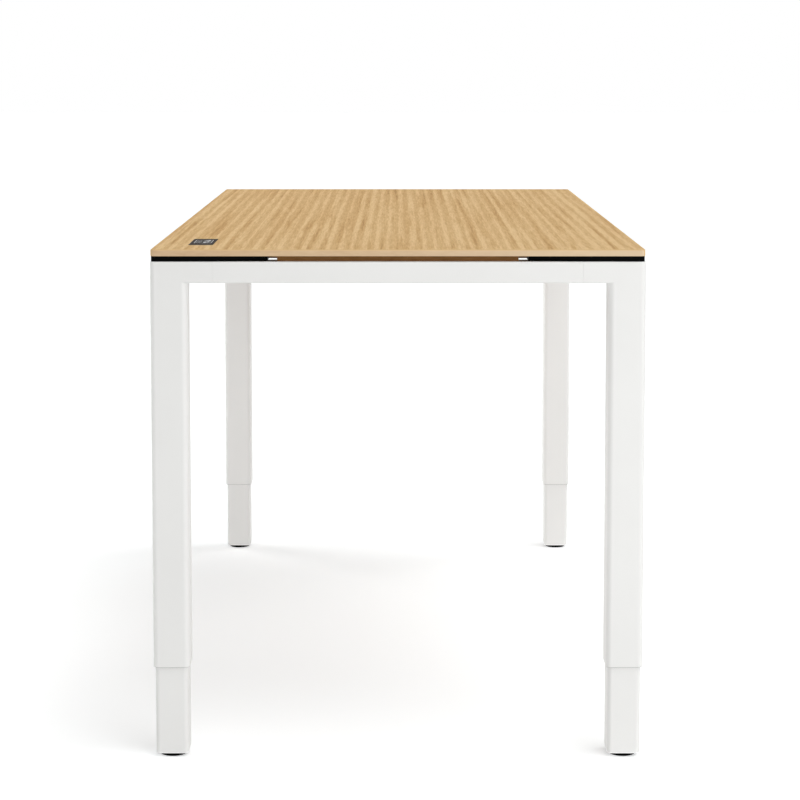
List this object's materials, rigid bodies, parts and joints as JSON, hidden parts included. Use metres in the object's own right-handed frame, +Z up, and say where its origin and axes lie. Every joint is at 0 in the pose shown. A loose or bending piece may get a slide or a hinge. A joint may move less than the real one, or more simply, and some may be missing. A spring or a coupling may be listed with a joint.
{
  "type": "standing desk",
  "caption": "Electric standing desk: oak board on a white steel frame with telescopic square legs, black corner spacers, in-column drives and levelling feet.",
  "frame": {"origin": "on the floor, under the middle of the board", "axes": "+X along the desk's length, +Y from the user's side to the back, +Z up"},
  "size_m": [1.603, 0.803, 0.84],
  "materials": {
    "oak": "matt lacquered oak",
    "white_paint": "satin white powder coat",
    "collar_plastic": "satin, matched to the paint",
    "white_plastic": "satin",
    "black_plastic": "satin",
    "panel_glass": "smoked gloss cover",
    "glide_plastic": "waxy acetal",
    "black_rubber": "matt",
    "motor_paint": "matt black",
    "bright_steel": "ground steel",
    "zinc_screws": "zinc plated",
    "zinc_sheet": "zinc plated sheet",
    "circuit": "green laminate"
  },
  "bodies": {
    "base": {"inner_tube_back_right": "white_paint", "inner_tube_back_left": "white_paint", "inner_tube_front_left": "white_paint", "inner_tube_front_right": "white_paint", "upper_glide_back_right": "glide_plastic", "upper_glide_back_left": "glide_plastic", "upper_glide_front_left": "glide_plastic", "upper_glide_front_right": "glide_plastic", "spindle_nut_back_right": "glide_plastic", "spindle_nut_back_left": "glide_plastic", "spindle_nut_front_left": "glide_plastic", "spindle_nut_front_right": "glide_plastic", "end_cap_back_right": "white_plastic", "end_cap_back_left": "white_plastic", "end_cap_front_left": "white_plastic", "end_cap_front_right": "white_plastic", "nut_rivets": "bright_steel"},
    "lift": {"desktop": "oak", "panel_glass": "panel_glass", "panel_housing": "black_plastic", "column_back_right": "white_paint", "column_back_left": "white_paint", "column_front_left": "white_paint", "column_front_right": "white_paint", "corner_plate_back_right": "black_plastic", "corner_plate_back_left": "black_plastic", "corner_plate_front_left": "black_plastic", "corner_plate_front_right": "black_plastic", "guide_collar_back_right": "collar_plastic", "guide_collar_back_left": "collar_plastic", "guide_collar_front_left": "collar_plastic", "guide_collar_front_right": "collar_plastic", "drive_motor_back_right": "motor_paint", "drive_motor_back_left": "motor_paint", "drive_motor_front_left": "motor_paint", "drive_motor_front_right": "motor_paint", "side_rail_front": "white_paint", "side_rail_back": "white_paint", "end_rail_left": "white_paint", "end_rail_right": "white_paint", "rail_joiners": "bright_steel", "rail_joiner_screws": "zinc_screws", "corner_plate_screws": "zinc_screws", "board_screws": "zinc_screws", "rail_board_screws": "zinc_screws", "motor_screws": "zinc_screws", "control_box_plate": "zinc_sheet", "control_box_shell": "black_plastic", "control_board": "circuit", "mains_inlet": "black_plastic", "lead_glands": "black_rubber", "control_box_screws": "zinc_screws"},
    "spindle_back_right": {"spindle_back_right": "bright_steel"},
    "foot_back_right": {"levelling_foot_back_right": "black_rubber"},
    "spindle_back_left": {"spindle_back_left": "bright_steel"},
    "foot_back_left": {"levelling_foot_back_left": "black_rubber"},
    "spindle_front_left": {"spindle_front_left": "bright_steel"},
    "foot_front_left": {"levelling_foot_front_left": "black_rubber"},
    "spindle_front_right": {"spindle_front_right": "bright_steel"},
    "foot_front_right": {"levelling_foot_front_right": "black_rubber"}
  },
  "joints": [
    {"name": "lift_slide", "type": "slide", "parent": "base", "child": "lift", "axis": [0, 0, 1], "range_m": [-0.14, 0.36]},
    {"name": "spindle_back_right_turn", "type": "hinge", "parent": "lift", "child": "spindle_back_right", "pos_m": [0.7715, 0.3715, 0.43], "axis": [0, 0, 1], "range_deg": [-5050, 12970]},
    {"name": "foot_back_right_level", "type": "slide", "parent": "base", "child": "foot_back_right", "axis": [0, 0, -1], "range_m": [0, 0.01]},
    {"name": "spindle_back_left_turn", "type": "hinge", "parent": "lift", "child": "spindle_back_left", "pos_m": [-0.7715, 0.3715, 0.43], "axis": [0, 0, 1], "range_deg": [-5050, 12970]},
    {"name": "foot_back_left_level", "type": "slide", "parent": "base", "child": "foot_back_left", "axis": [0, 0, -1], "range_m": [0, 0.01]},
    {"name": "spindle_front_left_turn", "type": "hinge", "parent": "lift", "child": "spindle_front_left", "pos_m": [-0.7715, -0.3715, 0.43], "axis": [0, 0, 1], "range_deg": [-5050, 12970]},
    {"name": "foot_front_left_level", "type": "slide", "parent": "base", "child": "foot_front_left", "axis": [0, 0, -1], "range_m": [0, 0.01]},
    {"name": "spindle_front_right_turn", "type": "hinge", "parent": "lift", "child": "spindle_front_right", "pos_m": [0.7715, -0.3715, 0.43], "axis": [0, 0, 1], "range_deg": [-5050, 12970]},
    {"name": "foot_front_right_level", "type": "slide", "parent": "base", "child": "foot_front_right", "axis": [0, 0, -1], "range_m": [0, 0.01]}
  ],
  "couplings": [
    {"joint": "spindle_back_right_turn", "follows": "lift_slide", "rad_per_m": 628.32},
    {"joint": "spindle_back_left_turn", "follows": "lift_slide", "rad_per_m": 628.32},
    {"joint": "spindle_front_left_turn", "follows": "lift_slide", "rad_per_m": 628.32},
    {"joint": "spindle_front_right_turn", "follows": "lift_slide", "rad_per_m": 628.32}
  ]
}
